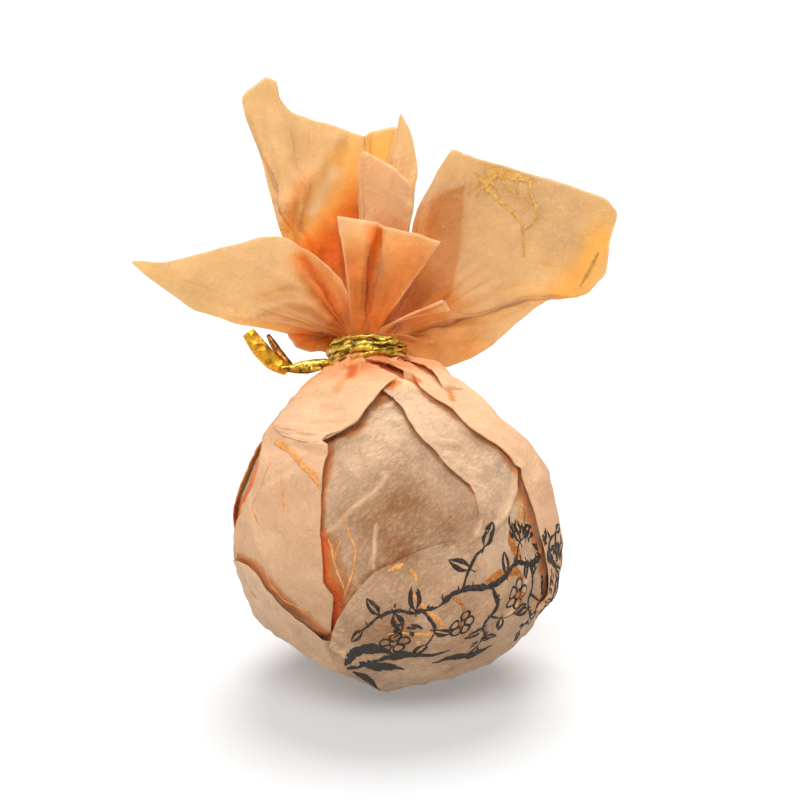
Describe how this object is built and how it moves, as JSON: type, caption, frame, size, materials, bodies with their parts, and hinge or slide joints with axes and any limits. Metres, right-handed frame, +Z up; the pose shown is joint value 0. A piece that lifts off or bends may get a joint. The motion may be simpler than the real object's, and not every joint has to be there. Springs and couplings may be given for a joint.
{
  "type": "tea ball wrapped in tied paper",
  "caption": "Ball of pressed tea wrapped in soft fibrous paper, gathered at the neck with a crumpled foil tie below a flared paper ruff.",
  "frame": {"origin": "on the small flat spot that the ball rests on, straight below the ball's middle", "axes": "+Z up, -Y towards the side with the open tea-coloured patch, +X to the right as seen from that side"},
  "size_m": [0.0481, 0.0405, 0.0563],
  "materials": {
    "paper": "matte, soft, fibrous",
    "foil": "crumpled, shiny"
  },
  "bodies": {
    "root": {"paper_wrapper": "paper", "twist_tie": "foil"}
  },
  "joints": []
}
